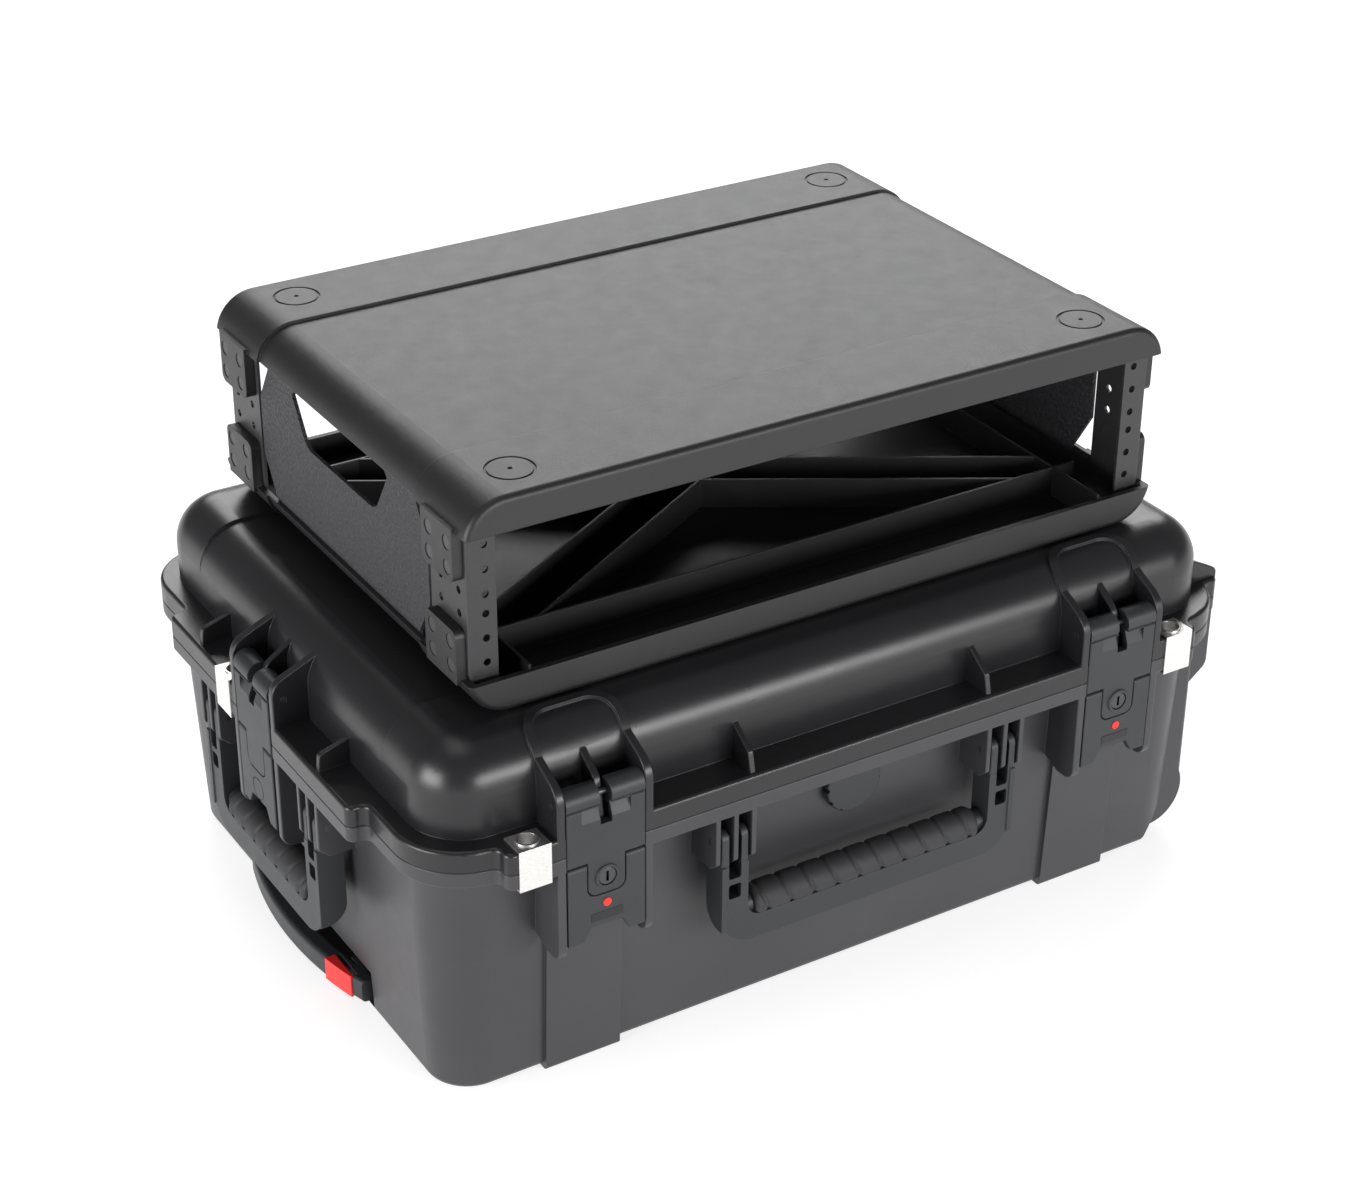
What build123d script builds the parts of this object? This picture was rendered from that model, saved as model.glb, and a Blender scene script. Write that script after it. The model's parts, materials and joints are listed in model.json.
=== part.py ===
from build123d import *
import os

# Wheeled equipment case with a removable two-unit rack cage standing on its lid.
# Millimetres, +Z up, front towards -Y, origin at the middle of the resting face.

os.makedirs("parts", exist_ok=True)

# ---- the case's main sizes ----
CASE_TOP = 245.0
SEAM_Z = 175.0
LID_FLANGE_TOP = 189.0
BASE_FLANGE_BOTTOM = 164.0
DOME_X, DOME_Y, DOME_CORNER_R = 286.0, 201.0, 36.0
BASE_X, BASE_Y, BASE_CORNER_R = 280.5, 191.0, 28.0
BASE_BOTTOM = 2.0
SHOULDER_R = 30.0
BOTTOM_R = 5.0
DRAFT_DEG = 2.44
WALL = 3.5
LID_WALL = 4.5
BAND_STEP = 1.8
BAND_Y = 133.0
RUNNER_HALF, RUNNER_PROUD = 26.0, 3.0
FLANGE_X, FLANGE_Y = 298.0, 213.0
SIDE_FACE_X, FRONT_FACE_Y = 310.0, 225.0
FLANGE_LEFT_HALF, FLANGE_RIGHT_HALF, FLANGE_FRONT_HALF = 134.0, 180.0, 254.0
FLANGE_CORNER_R = 45.0
JOG_R = 5.5
FLOOR_Z = 33.0
FLOOR_THICK = 3.5
PACKED_CAGE_Z = 78.0

# ---- latches, measured from the flange face (y = 0, outwards is -y) ----
LATCH_X = 189.5
EAR_OUTER, EAR_INNER = 32.0, 26.5
LATCH_HALF = 26.1
SIDE_EAR_INNER, SIDE_LATCH_HALF = 27.1, 24.6
LATCH_FRONT, LATCH_BACK = -0.5, 5.0
BARREL_R = 8.0
PIVOT_Y, PIVOT_Z, PIVOT_R = LATCH_FRONT + BARREL_R, 208.0, 2.0
SLOT_HALF, SLOT_LOW = 3.9, 191.0
SCOOP_OUTER, SCOOP_LOW, SCOOP_HIGH, SCOOP_DEPTH = 16.4, 194.5, 203.5, 3.6
STRIKE_Y, STRIKE_Z, STRIKE_R = 12.0, 155.0, 2.5
TRIGGER_TOP, TRIGGER_BOTTOM, TRIGGER_GAP = 165.5, 111.5, 0.5
TRIGGER_PIN_Y, TRIGGER_PIN_Z, TRIGGER_PIN_R = 2.2, 162.6, 1.5
TONGUE_HALF, TONGUE_LOW, TONGUE_CORNER_R = 12.5, 142.5, 6.0
HOOK_REACH = 8.8
LOCK_Z, LOCK_R = 154.3, 6.0
INDICATOR_Z, INDICATOR_R = 135.8, 2.8
LABEL_Z, LABEL_HALF_X, LABEL_HALF_Z = 127.0, 10.6, 2.9
NOTCH_WIDE, NOTCH_NARROW, NOTCH_TOP = 15.5, 10.5, 120.5

# ---- carry handles, in the same local frame ----
HANDLE_PIN_Y, HANDLE_PIN_Z, HANDLE_PIN_R = 7.0, 147.0, 2.2
FIN_PITCH, FIN_HALF, FIN_FOOT = 12.6, 1.6, 127.0
LEG_HALF, LEG_DEPTH = 9.6, 18.0
GRIP_Y, GRIP_R, GRIP_CORE_R = 11.0, 11.0, 7.5
FRONT_HANDLE_HALF, FRONT_GRIP_Z = 100.0, 91.0
SIDE_HANDLE_HALF, SIDE_GRIP_Z = 74.0, 82.0
BLADE_DROP, BLADE_BACK, BLADE_CORNER_R = 21.0, 4.5, 24.0

# ---- padlock plates ----
PLATE_MIDDLE, PLATE_HALF, PLATE_THICK = 236.5, 10.5, 1.2
SIDE_PLATE_Y = 45.0
PADLOCK_R, PADLOCK_IN, BUSH_WALL, BUSH_RING = 6.0, 8.8, 1.2, 0.8

# ---- hinges ----
HINGE_X, HINGE_HALF, KNUCKLE_HALF = 150.0, 45.0, 15.5
HINGE_IN, HINGE_Z, HINGE_R, HINGE_PIN_R = 0.2, 146.0, 5.4, 2.0

# ---- pull handle ----
TUBE_Y, TUBE_Z = 66.0, 15.5
TUBE_RADII = ((9.0, 7.8), (7.7, 6.5), (6.4, 5.2))
POCKET_Y, POCKET_BACK, POCKET_LOW, POCKET_TOP = 90.0, -262.0, 5.0, 33.0
BAR_LOW, BAR_HIGH = 7.5, 23.5
BUTTON_Y0, BUTTON_Y1 = -75.0, -49.0

# ---- wheels ----
WHEEL_X, WHEEL_Y, WHEEL_Z = 266.0, 162.0, 34.0
WHEEL_R, WHEEL_HALF, AXLE_R = 30.0, 11.0, 3.0
HOUSING_R, HOUSING_HALF = 36.5, 16.5
HUB_R = 20.0
COLUMN_X, COLUMN_OUTER = 292.0, 183.0
STAND_RIB_Y, STAND_RIB_HALF = 174.0, 2.0

# ---- rack cage ----
CAGE_X, CAGE_HALF_Y, CAGE_HALF_Z = 249.0, 172.9, 69.1
CAGE_PLACE_X, CAGE_PLACE_Y = 4.0, 5.0
CAGE_Z = CASE_TOP + CAGE_HALF_Z
CAGE_INNER_X = 244.0
CAGE_EDGE_R, CAGE_LIP_R = 27.0, 4.0
CAGE_STEP, CAGE_WALL = 1.8, 3.0
SKIRT_LOW = 47.0
CAGE_BAND_Y = 108.0
RAIL_FRONT = 163.9
RAIL_HOLE_X, RAIL_HOLE_R = 232.55, 2.4
RAIL_INNER_X, RAIL_THICK, RAIL_DEPTH = 225.5, 2.0, 45.0
RAIL_HALF_Z = 64.0
RACK_HOLES_Z = (6.35, 22.225, 38.1)
RIVET_DEPTHS = (10.5, 32.8)
RIVET_HEIGHTS = (23.9, 39.6)
RIVET_R, RIVET_HEAD_R = 2.5, 4.5
DISC_X, DISC_Y, DISC_R = 203.6, 142.8, 15.0
RIB_HALF, RIB_TOP, RIB_Y, RIB_END_X = 0.9, 44.6, 122.0, 208.0
RIB_SLOPE_DEG, RIB_PAIR_Y = 30.4, 18.4

FRONT, REAR, LEFT, RIGHT = "front", "rear", "left", "right"


def block(x0, x1, y0, y1, z0, z1):
    """Box between two opposite corners."""
    size = Box(x1 - x0, y1 - y0, z1 - z0)
    return Pos((x0 + x1) / 2, (y0 + y1) / 2, (z0 + z1) / 2) * size


def rod_x(radius, x0, x1, y, z):
    """Cylinder along X."""
    return Pos((x0 + x1) / 2, y, z) * Rot(0, 90, 0) * Cylinder(radius, x1 - x0)


def rod_y(radius, y0, y1, x, z):
    """Cylinder along Y."""
    return Pos(x, (y0 + y1) / 2, z) * Rot(90, 0, 0) * Cylinder(radius, y1 - y0)


def rod_z(radius, z0, z1, x, y):
    """Cylinder along Z."""
    return Pos(x, y, (z0 + z1) / 2) * Cylinder(radius, z1 - z0)


def plate_x(points, x0, x1, edge=0.0):
    """Plate with an outline of (y, z) points, from x0 to x1, its edges rounded.

    A third number at a point is the radius of its corner.
    """
    face = make_face(Polyline(*[point[:2] for point in points], close=True))
    for y, z, *radius in points:
        if radius:
            face = fillet(face.vertices().sort_by_distance((y, z, 0))[0], radius[0])
    plate = extrude(Plane.YZ.offset(x0) * face, x1 - x0)
    return fillet(plate.edges(), edge) if edge else plate


def plate_y(points, y0, y1, radius=0.0):
    """Plate with an outline of (x, z) points, from y0 to y1, its corners rounded."""
    face = make_face(Polyline(*points, close=True))
    if radius:
        face = fillet(face.vertices(), radius)
    return extrude(Plane.XZ.offset(-y1) * face, y1 - y0)


def at_side(shape, side, along=0.0):
    """Carry a shape from the local frame of a flange face to one side of the case."""
    places = {
        FRONT: Location((along, -FRONT_FACE_Y, 0), (0, 0, 0)),
        REAR: Location((along, FRONT_FACE_Y, 0), (0, 0, 180)),
        LEFT: Location((-SIDE_FACE_X, along, 0), (0, 0, -90)),
        RIGHT: Location((SIDE_FACE_X, along, 0), (0, 0, 90)),
    }
    return places[side] * shape


LATCHES = {
    "front_left": (FRONT, -LATCH_X),
    "front_right": (FRONT, LATCH_X),
    "left_side": (LEFT, 0.0),
    "right_side": (RIGHT, 0.0),
}
LOCKED_LATCHES = ("front_left", "front_right")
PLATES = ((FRONT, -PLATE_MIDDLE), (FRONT, PLATE_MIDDLE), (LEFT, SIDE_PLATE_Y), (RIGHT, SIDE_PLATE_Y))


# ---------------------------------------------------------------- shells of the case

def dome(grow=0.0):
    """Solid dome of the lid, offset outwards by grow."""
    outline = RectangleRounded(2 * (DOME_X + grow), 2 * (DOME_Y + grow), DOME_CORNER_R + grow)
    body = Pos(0, 0, SEAM_Z) * extrude(outline, CASE_TOP + grow - SEAM_Z)
    return fillet(body.edges().group_by(Axis.Z)[-1], SHOULDER_R + grow)


def tub(grow=0.0, bottom=BASE_BOTTOM, bottom_radius=BOTTOM_R):
    """Solid drafted body of the base, offset outwards by grow."""
    outline = RectangleRounded(2 * (BASE_X + grow), 2 * (BASE_Y + grow), BASE_CORNER_R + grow)
    body = Pos(0, 0, bottom) * extrude(outline, SEAM_Z - bottom, taper=-DRAFT_DEG)
    return fillet(body.edges().group_by(Axis.Z)[0], bottom_radius)


def flange(low, high):
    """Rim of the case: narrow corners, wider stretches that carry the fittings."""
    outline = RectangleRounded(2 * FLANGE_X, 2 * FLANGE_Y, FLANGE_CORNER_R)
    for side, half in ((-1, FLANGE_LEFT_HALF), (1, FLANGE_RIGHT_HALF)):
        outline += Pos(side * SIDE_FACE_X / 2, 0) * Rectangle(SIDE_FACE_X, 2 * half)
    outline += Rectangle(2 * FLANGE_FRONT_HALF, 2 * FRONT_FACE_Y)
    jogs = outline.vertices().filter_by(lambda v: abs(abs(v.X) - FLANGE_FRONT_HALF) < 1)
    jogs += outline.vertices().filter_by(lambda v: abs(v.X) > 200 and abs(abs(v.Y) - side_half(v.X)) < 1)
    outline = fillet(jogs, JOG_R)
    return Pos(0, 0, low) * extrude(outline, high - low)


def side_half(x):
    """Half length of the flange's wide stretch on the left or the right side."""
    return FLANGE_LEFT_HALF if x < 0 else FLANGE_RIGHT_HALF


def lid_latch_ears():
    """Two cheeks that carry a latch's pivot and the sloping fin between its barrels."""
    cheek = [(0, SEAM_Z), (0, 219, 14), (38, 236), (60, 239), (60, SEAM_Z)]
    ears = plate_x(cheek, EAR_INNER, EAR_OUTER, 0.9) + plate_x(cheek, -EAR_OUTER, -EAR_INNER, 0.9)
    fin = [(8, 178), (5.6, 192, 3), (9.5, 216, 10), (32, 231), (60, 236), (60, 178)]
    ears += plate_x(fin, -2.4, 2.4, 0.9)
    return ears - rod_x(PIVOT_R + 0.02, -40, 40, PIVOT_Y, PIVOT_Z)


def base_latch_ears(inner):
    """Two cheeks below the seam that carry the strike pin."""
    cheek = [(0, SEAM_Z), (0, 102, 9), (16, 102), (45, 114), (45, SEAM_Z)]
    ears = plate_x(cheek, inner, EAR_OUTER, 0.9) + plate_x(cheek, -EAR_OUTER, -inner, 0.9)
    return ears - rod_x(STRIKE_R + 0.02, -29.5, 29.5, STRIKE_Y, STRIKE_Z)


def latch_bay():
    """Space that a latch takes out of the flange."""
    return block(-EAR_INNER, EAR_INNER, -1, 12, BASE_FLANGE_BOTTOM - 1, LID_FLANGE_TOP + 1)


def gusset(side):
    """Thin brace between the dome and the lid's flange."""
    foot = LID_FLANGE_TOP - 1
    outline = [(3, foot), (6.5, 202, 3), (26, 215), (30, 216), (30, foot)]
    if side in (LEFT, RIGHT):
        outline = [(3, foot), (4, 200, 3), (24, 206.5), (30, 208), (30, foot)]
    return plate_x(outline, -1.9, 1.9, 0.7)


def stand_rib(outline):
    """Rib across the right side above a wheel, which the case stands on when it is upright."""
    rib = plate_x(outline, -STAND_RIB_HALF, STAND_RIB_HALF, 0.9)
    return at_side(rib, RIGHT, -STAND_RIB_Y) + at_side(rib, RIGHT, STAND_RIB_Y)


def padlock_hole():
    return rod_z(PADLOCK_R + BUSH_WALL, BASE_FLANGE_BOTTOM - 5, LID_FLANGE_TOP + 5, 0, PADLOCK_IN)


def padlock_plate(low, high, outer, ring):
    """Stamped plate over the flange's edge, with a bush for a padlock's shackle."""
    near = low if outer < low else high
    flat = block(-PLATE_HALF, PLATE_HALF, -PLATE_THICK, 17, min(near, outer), max(near, outer))
    lip = block(-PLATE_HALF, PLATE_HALF, -PLATE_THICK, 0, low, high)
    bush = rod_z(PADLOCK_R + BUSH_WALL, min(low, outer), max(high, outer) + ring, 0, PADLOCK_IN)
    hole = rod_z(PADLOCK_R, low - 5, high + 5, 0, PADLOCK_IN)
    return flat + lip + bush - hole


def lid_shell():
    middle = block(-400, 400, -BAND_Y, BAND_Y, SEAM_Z, 400)
    outer = (dome() - middle) + (Pos(0, 0, -BAND_STEP) * dome() & middle)
    rim = flange(SEAM_Z, LID_FLANGE_TOP)
    rim = fillet(rim.edges().group_by(Axis.Z)[-1], 2.5)
    rim = chamfer(rim.edges().group_by(Axis.Z)[0], 0.7)
    shell = outer + rim
    for side, along in LATCHES.values():
        shell -= at_side(latch_bay(), side, along)
        shell += at_side(lid_latch_ears(), side, along)
    for along in (-LATCH_X, LATCH_X):
        shell += latch_arch(along)
    for along in (-87, 87):
        for side in (FRONT, REAR, LEFT, RIGHT):
            shell += at_side(gusset(side), side, along)
    shell += stand_rib([(-0.5, SEAM_Z), (-0.5, 194, 5), (24, 207), (32, 207), (32, SEAM_Z)])
    for along in (-HINGE_X, HINGE_X):
        shell += at_side(lid_knuckle(), REAR, along)
    for side, along in PLATES:
        shell -= at_side(padlock_hole(), side, along)
    shell -= dome(-LID_WALL)
    return shell - gasket()


def latch_arch(along):
    """Raised arch on the lid's shoulder behind a front latch, its far corners rounded."""
    length, back = 100.0, -172.0
    outer = RectangleRounded(2 * EAR_OUTER, length, 20)
    inner = RectangleRounded(2 * EAR_INNER, length, 15)
    ring = outer - Pos(0, -5) * inner
    ring = Pos(along, back - length / 2, 205) * extrude(ring, 60)
    ring -= block(along - 40, along + 40, -300, -FRONT_FACE_Y + 12, 200, 270)
    return ring & dome(2.2)


def gasket():
    """Seal in the lid's rim."""
    def solid(x, y, r):
        return Pos(0, 0, SEAM_Z) * extrude(RectangleRounded(2 * x, 2 * y, r), 4.5)
    return solid(292.5, 208, 42) - solid(287.5, 203, 37)


def lid_knuckle():
    """Middle knuckle of a hinge, on an arm that hangs from the lid's flange."""
    outer = HINGE_IN - HINGE_R
    outline = [(3, 177), (3, 187), (-2.5, 187), (outer, 183), (outer, HINGE_Z), (-0.7, HINGE_Z), (-0.7, 177)]
    arm = plate_x(outline, -KNUCKLE_HALF, KNUCKLE_HALF)
    barrel = rod_x(HINGE_R, -KNUCKLE_HALF, KNUCKLE_HALF, HINGE_IN, HINGE_Z)
    return arm + barrel - rod_x(HINGE_PIN_R + 0.06, -60, 60, HINGE_IN, HINGE_Z)


def base_knuckles():
    """Two outer knuckles of a hinge, on brackets under the base's flange."""
    outline = [(HINGE_IN, HINGE_Z - HINGE_R), (34, HINGE_Z - HINGE_R), (34, 166), (2, 166),
               (HINGE_IN, HINGE_Z + HINGE_R)]
    knuckles = Part()
    for low, high in ((-HINGE_HALF, -KNUCKLE_HALF - 0.5), (KNUCKLE_HALF + 0.5, HINGE_HALF)):
        knuckles += plate_x(outline, low, high)
        knuckles += rod_x(HINGE_R, low, high, HINGE_IN, HINGE_Z)
    return knuckles - rod_x(HINGE_PIN_R + 0.02, -60, 60, HINGE_IN, HINGE_Z)


def handle_fins(half):
    """Three fins on each side that carry a handle's pins."""
    outline = [(0, 170), (0, FIN_FOOT + 6, 3), (7, FIN_FOOT), (45, FIN_FOOT), (45, 170)]
    fins = Part()
    for side in (-1, 1):
        for place in (-FIN_PITCH, 0, FIN_PITCH):
            middle = side * half + place
            fins += plate_x(outline, middle - FIN_HALF, middle + FIN_HALF, 0.6)
    return fins - rod_x(HANDLE_PIN_R + 0.02, -half - 40, half + 40, HANDLE_PIN_Y, HANDLE_PIN_Z)


def wheel_well(side):
    """Open corner pocket for one wheel and its housing."""
    y0 = side * WHEEL_Y - HOUSING_HALF - 0.2
    y1 = side * WHEEL_Y + HOUSING_HALF + 0.2
    well = rod_y(HOUSING_R + 0.2, y0, y1, WHEEL_X, WHEEL_Z)
    well += block(WHEEL_X, 330, y0, y1, -20, WHEEL_Z + HOUSING_R + 0.2)
    return well + block(WHEEL_X - HOUSING_R - 0.2, 330, y0, y1, -20, WHEEL_Z)


def wheel_column(side):
    """Raised column on the right wall round a wheel, rounded about its axle below."""
    low, high = sorted((side * 141.0, side * COLUMN_OUTER))
    column = block(WHEEL_X, COLUMN_X, low, high, WHEEL_Z, BASE_FLANGE_BOTTOM + 1)
    column = fillet(column.edges().filter_by(Axis.Z).group_by(Axis.X)[-1], 4)
    return column + rod_y(COLUMN_X - WHEEL_X, low, high, WHEEL_X, WHEEL_Z)


def corner_slope():
    """Wedge that is cut from the base's lower right corners, clear of a wheel's tread."""
    outline = [(251, -1), (283, 48), (340, 48), (340, -1)]
    reach = WHEEL_Y + HOUSING_HALF
    wedge = plate_y(outline, -260, 260)
    return wedge - block(240, 350, -reach, reach, -5, 60)


def base_shell():
    rim = flange(BASE_FLANGE_BOTTOM, SEAM_Z)
    rim = fillet(rim.edges().group_by(Axis.Z)[0], 2.0)
    rim = chamfer(rim.edges().group_by(Axis.Z)[-1], 0.7)
    shell = tub() - corner_slope() + rim
    runners = tub(RUNNER_PROUD, 0.0, 3.0)
    for x in (-LATCH_X, LATCH_X):
        for y0, y1 in ((-230, -150), (150, 230)):
            shell += runners & block(x - RUNNER_HALF, x + RUNNER_HALF, y0, y1, 0, 106)
    for side in (-1, 1):
        shell += wheel_column(side)
    shell += stand_rib([(-0.5, SEAM_Z), (-0.5, 120, 9), (15, 108), (40, 108), (40, SEAM_Z)])
    for side, along in LATCHES.values():
        shell -= at_side(latch_bay(), side, along)
        inner = EAR_INNER if side == FRONT else SIDE_EAR_INNER
        shell += at_side(base_latch_ears(inner), side, along)
    shell += at_side(handle_fins(FRONT_HANDLE_HALF), FRONT)
    shell += at_side(handle_fins(SIDE_HANDLE_HALF), LEFT)
    for along in (-HINGE_X, HINGE_X):
        shell += at_side(base_knuckles(), REAR, along)
    for side, along in PLATES:
        shell -= at_side(padlock_hole(), side, along)
    shell -= base_cavity()
    shell -= block(-330, POCKET_BACK, -POCKET_Y, POCKET_Y, POCKET_LOW, POCKET_TOP)
    for side in (-1, 1):
        shell -= wheel_well(side)
        shell -= rod_x(TUBE_RADII[0][0] + 0.05, -300, -200, side * TUBE_Y, TUBE_Z)
    return shell - rod_y(VALVE_STEM_R + 0.05, -230, -180, 0, VALVE_Z)


def base_cavity():
    """Inside of the base, less the walls of the handle's pocket and the wheel wells."""
    outline = RectangleRounded(2 * (BASE_X - WALL), 2 * (BASE_Y - WALL), BASE_CORNER_R - WALL)
    hollow = Pos(0, 0, BASE_BOTTOM + WALL) * extrude(outline, SEAM_Z - WALL, taper=-DRAFT_DEG)
    hollow = fillet(hollow.edges().group_by(Axis.Z)[0], 3)
    hollow -= block(-300, POCKET_BACK + WALL, -POCKET_Y - WALL, POCKET_Y + WALL, 0, FLOOR_Z + FLOOR_THICK)
    for side in (-1, 1):
        low, high = sorted((side * 141.5, side * 200))
        hollow -= block(WHEEL_X - HOUSING_R - WALL, 300, low, high, 0, WHEEL_Z + HOUSING_R + WALL)
        hollow -= block(-250, 225, side * 110 - 1.5, side * 110 + 1.5, 0, FLOOR_Z)
    for x in (-200, -60, 80, 200):
        hollow -= rod_z(5, 0, FLOOR_Z, x, 0)
    return hollow


# ---------------------------------------------------------------- latches

def tongue_outline(grow=0.0):
    """Outline of the latch's tongue in X and Z, its lower corners rounded."""
    half, low = TONGUE_HALF + grow, TONGUE_LOW - grow
    face = make_face(Polyline((-half, low), (half, low), (half, 172), (-half, 172), close=True))
    return fillet(face.vertices().group_by(Axis.Y)[0], TONGUE_CORNER_R + grow)


def tongue(back, front, grow=0.0):
    return extrude(Plane.XZ.offset(-back) * tongue_outline(grow), back - front)


def latch_body(half):
    """Draw latch: barrel with a slot, a face with two scoops under it and a rounded tongue."""
    front = LATCH_FRONT
    low_edge = TRIGGER_TOP + 1.0
    body = plate_y([(-half, low_edge), (half, low_edge), (half, 204), (-half, 204)], front, LATCH_BACK)
    body += tongue(LATCH_BACK, front)
    body = chamfer(body.faces().sort_by(Axis.Y)[0].edges(), 0.6)
    body += rod_x(BARREL_R, -half, half, PIVOT_Y, PIVOT_Z)
    scoop = [(front - 2, SCOOP_LOW), (front, SCOOP_LOW), (front + SCOOP_DEPTH, SCOOP_HIGH),
             (front - 2, SCOOP_HIGH)]
    for side in (-1, 1):
        low, high = sorted((side * SLOT_HALF, side * SCOOP_OUTER))
        body -= plate_x(scoop, low, high)
    body -= block(-SLOT_HALF, SLOT_HALF, -10, 30, SLOT_LOW, 230)
    body -= rod_x(TRIGGER_PIN_R + 0.02, -24, 24, TRIGGER_PIN_Y, TRIGGER_PIN_Z)
    return body - rod_x(PIVOT_R + 0.06, -40, 40, PIVOT_Y, PIVOT_Z)


def trigger(half, locked):
    """Lever below the latch's tongue: two arms on the pin, a foot with a finger notch, two hooks."""
    front = LATCH_FRONT
    side = half - 0.2
    outline = [(-side, TRIGGER_BOTTOM), (-NOTCH_WIDE, TRIGGER_BOTTOM), (-NOTCH_NARROW, NOTCH_TOP),
               (NOTCH_NARROW, NOTCH_TOP), (NOTCH_WIDE, TRIGGER_BOTTOM), (side, TRIGGER_BOTTOM),
               (side, TRIGGER_TOP), (-side, TRIGGER_TOP)]
    lever = plate_y(outline, front, LATCH_BACK)
    lever -= tongue(10, -10, TRIGGER_GAP)
    lever = chamfer(lever.faces().sort_by(Axis.Y)[0].edges(), 0.5)
    lever -= trigger_nose()
    for sign in (-1, 1):
        low, high = sorted((sign * 18.6, sign * (half - 1)))
        lever += block(low, high, 4, HOOK_REACH, 142, 152)
    lever -= rod_x(TRIGGER_PIN_R + 0.06, -40, 40, TRIGGER_PIN_Y, TRIGGER_PIN_Z)
    if locked:
        lever -= rod_y(INDICATOR_R + 0.02, -10, front + 2, 0, INDICATOR_Z)
        half_x, half_z = LABEL_HALF_X + 0.02, LABEL_HALF_Z + 0.02
        return lever - block(-half_x, half_x, -10, front + 0.4, LABEL_Z - half_z, LABEL_Z + half_z)
    ring = rod_y(8.0, -10, front + 0.5, 0, 129) - rod_y(7.0, -10, 0, 0, 129)
    return lever - ring


def trigger_nose():
    """What is cut away to round a trigger's upper front edge about its pin."""
    radius = TRIGGER_PIN_Y - LATCH_FRONT
    middle_y, middle_z = LATCH_FRONT + radius, TRIGGER_TOP - radius
    edge = block(-30, 30, LATCH_FRONT - 1, middle_y, middle_z, TRIGGER_TOP + 1)
    return edge - rod_x(radius, -31, 31, middle_y, middle_z)


def lock_plug():
    """Key cylinder with its keyway, turning in the latch's tongue."""
    plug = rod_y(LOCK_R, LATCH_FRONT - 0.6, LATCH_BACK, 0, LOCK_Z)
    plug = chamfer(plug.faces().sort_by(Axis.Y)[0].edges(), 0.5)
    return plug - block(-0.9, 0.9, -10, LATCH_FRONT + 2, LOCK_Z - 3.5, LOCK_Z + 3.5)


def lock_collar():
    """Raised ring round the key cylinder."""
    collar = rod_y(LOCK_R + 2.0, LATCH_FRONT - 1.2, LATCH_FRONT, 0, LOCK_Z)
    collar = chamfer(collar.faces().sort_by(Axis.Y)[0].edges(), 0.4)
    return collar - rod_y(LOCK_R + 0.06, -20, 20, 0, LOCK_Z)


def lock_indicator():
    return rod_y(INDICATOR_R, LATCH_FRONT - 0.4, LATCH_FRONT + 2, 0, INDICATOR_Z)


def lock_label():
    return block(-LABEL_HALF_X, LABEL_HALF_X, LATCH_FRONT - 0.2, LATCH_FRONT + 0.4,
                 LABEL_Z - LABEL_HALF_Z, LABEL_Z + LABEL_HALF_Z)


# ---------------------------------------------------------------- handles

def u_outline(half, top, low, radius):
    """Face in X and Z from top to low, its two lower corners rounded."""
    face = make_face(Polyline((-half, top), (-half, low), (half, low), (half, top), close=True))
    return fillet(face.vertices().group_by(Axis.Y)[0], radius)


def carry_handle(half, grip_z):
    """Folding handle: two forked legs, a flat blade between them and a round core behind it."""
    out, foot = half + LEG_HALF, grip_z - BLADE_DROP
    inside = half - LEG_HALF
    front, back = 0.8, BLADE_BACK
    blade = extrude(Plane.XZ.offset(-back) * u_outline(out, 100, foot, BLADE_CORNER_R), back - front)
    blade -= extrude(Plane.XZ.offset(-10) * u_outline(inside, 110, grip_z - 4, 10), 20)
    frame = blade + rod_x(GRIP_CORE_R, -half, half, GRIP_Y, grip_z)
    sill = foot + BLADE_CORNER_R / 2
    for side in (-1, 1):
        x = side * half
        leg = plate_x([(front, 129), (front, sill), (LEG_DEPTH, sill, 14), (LEG_DEPTH, 129)],
                      x - LEG_HALF, x + LEG_HALF)
        leg -= block(x - 5.4, x + 5.4, -1, LEG_DEPTH - 3, grip_z - 7, grip_z + 7)
        low, high = sorted((side * (out - 3.6), side * out))
        leg += block(low, high, 0, 4, sill, 129)
        tines = block(x - LEG_HALF, x + LEG_HALF, 1, 13, 128, HANDLE_PIN_Z)
        tines += rod_x(6, x - LEG_HALF, x + LEG_HALF, HANDLE_PIN_Y, HANDLE_PIN_Z)
        tines = fillet(tines.edges().filter_by(Axis.Z), 1.2)
        leg += tines
        leg -= block(x - 2.2, x + 2.2, -1, 30, FIN_FOOT - 3, 160)
        leg -= slot_between(x, 119, 165) + slot_between(x, 104.5, 115)
        frame += leg
    return frame - rod_x(HANDLE_PIN_R + 0.06, -half - 40, half + 40, HANDLE_PIN_Y, HANDLE_PIN_Z)


def slot_between(x, low, high):
    """Opening in a leg of a handle, its upright edges rounded."""
    opening = block(x - 4.4, x + 4.4, -1, 14, low, high)
    return fillet(opening.edges().filter_by(Axis.Y), 1.8)


def grip_sleeve(half, grip_z):
    """Soft sleeve with raised rings, cut flat where it lies behind the handle's blade."""
    length = 2 * (half - LEG_HALF - 6)
    sleeve = rod_x(GRIP_R - 1.2, -length / 2, length / 2, GRIP_Y, grip_z)
    count = round(length / 17)
    pitch = length / count
    for index in range(count):
        middle = (index - (count - 1) / 2) * pitch
        ring = rod_x(GRIP_R, middle - pitch / 2 + 1.2, middle + pitch / 2 - 1.2, GRIP_Y, grip_z)
        sleeve += fillet(ring.edges(), 1.0)
    sleeve -= block(-half, half, -5, BLADE_BACK, grip_z - 20, grip_z - 3.9)
    return sleeve - rod_x(GRIP_CORE_R + 0.05, -half, half, GRIP_Y, grip_z)


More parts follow.
